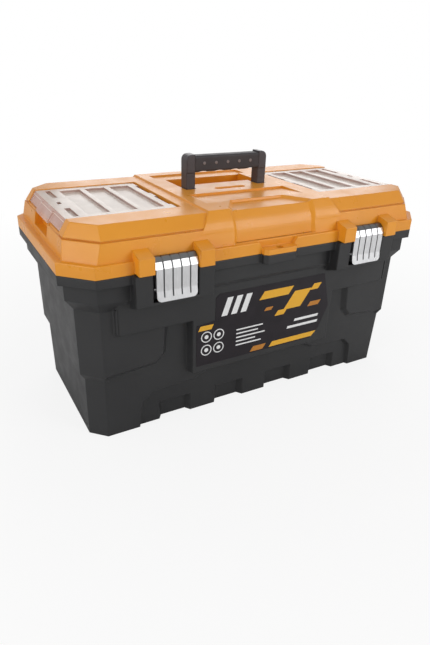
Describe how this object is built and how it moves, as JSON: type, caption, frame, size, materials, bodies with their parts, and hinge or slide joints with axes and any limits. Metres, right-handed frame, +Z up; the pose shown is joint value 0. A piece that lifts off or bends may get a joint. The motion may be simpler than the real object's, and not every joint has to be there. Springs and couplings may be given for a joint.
{
  "type": "plastic tool box",
  "caption": "Long plastic tool box with a hinged lid, folding carry handle, draw latches, clear-covered organiser wells in the lid and a lift-out inner tray.",
  "frame": {"origin": "floor level under the middle of the closed box, handle up", "axes": "+X to the right along the length as seen from the front, -Y out of the front with the latches, +Z up"},
  "size_m": [0.559, 0.3108, 0.3433],
  "materials": {
    "tub_plastic": "matte, fine moulded grain",
    "lid_plastic": "satin moulded plastic",
    "clear_cover": "clear, slightly milky moulded plastic",
    "handle_plastic": "matte moulded plastic",
    "grip": "soft matte",
    "latch_steel": "bright plated sheet",
    "wire": "drawn wire",
    "tray_plastic": "matte moulded plastic",
    "divider_plastic": "matte moulded plastic",
    "label": "printed film, satin"
  },
  "bodies": {
    "base": {"base_tub": "tub_plastic", "front_label": "label", "inner_tray": "tray_plastic", "tray_handle": "tray_plastic", "tray_dividers": "divider_plastic", "left_lid_hinge_rod": "wire", "right_lid_hinge_rod": "wire"},
    "lid": {"lid_shell": "lid_plastic", "handle_pivot_pins": "handle_plastic", "left_cover_hinge_rod": "wire", "right_cover_hinge_rod": "wire", "left_organiser_dividers": "divider_plastic", "right_organiser_dividers": "divider_plastic"},
    "left_cover": {"left_organiser_cover": "clear_cover"},
    "right_cover": {"right_organiser_cover": "clear_cover"},
    "handle": {"handle_frame": "handle_plastic", "handle_grip": "grip"},
    "left_bail": {"left_latch_bail": "wire"},
    "right_bail": {"right_latch_bail": "wire"},
    "left_lever": {"left_latch_lever": "latch_steel"},
    "right_lever": {"right_latch_lever": "latch_steel"}
  },
  "joints": [
    {"name": "lid_hinge", "type": "hinge", "parent": "base", "child": "lid", "pos_m": [0, 0.149, 0.24], "axis": [-1, 0, 0], "range_deg": [0, 100]},
    {"name": "left_cover_hinge", "type": "hinge", "parent": "lid", "child": "left_cover", "pos_m": [-0.115, 0, 0.29], "axis": [0, 1, 0], "range_deg": [0, 95]},
    {"name": "right_cover_hinge", "type": "hinge", "parent": "lid", "child": "right_cover", "pos_m": [0.115, 0, 0.29], "axis": [0, -1, 0], "range_deg": [0, 95]},
    {"name": "handle_fold", "type": "hinge", "parent": "lid", "child": "handle", "pos_m": [0, 0.0035, 0.2855], "axis": [-1, 0, 0], "range_deg": [0, 90]},
    {"name": "left_bail_swing", "type": "hinge", "parent": "base", "child": "left_bail", "pos_m": [-0.1505, -0.148, 0.233], "axis": [-1, 0, 0], "range_deg": [0, 85]},
    {"name": "left_lever_swing", "type": "hinge", "parent": "left_bail", "child": "left_lever", "pos_m": [-0.1505, -0.148, 0.219], "axis": [1, 0, 0], "range_deg": [0, 119]},
    {"name": "right_bail_swing", "type": "hinge", "parent": "base", "child": "right_bail", "pos_m": [0.1505, -0.148, 0.233], "axis": [-1, 0, 0], "range_deg": [0, 85]},
    {"name": "right_lever_swing", "type": "hinge", "parent": "right_bail", "child": "right_lever", "pos_m": [0.1505, -0.148, 0.219], "axis": [1, 0, 0], "range_deg": [0, 119]}
  ],
  "couplings": [
    {"joint": "left_lever_swing", "follows": "left_bail_swing", "ratio": 1.4},
    {"joint": "right_lever_swing", "follows": "right_bail_swing", "ratio": 1.4}
  ]
}
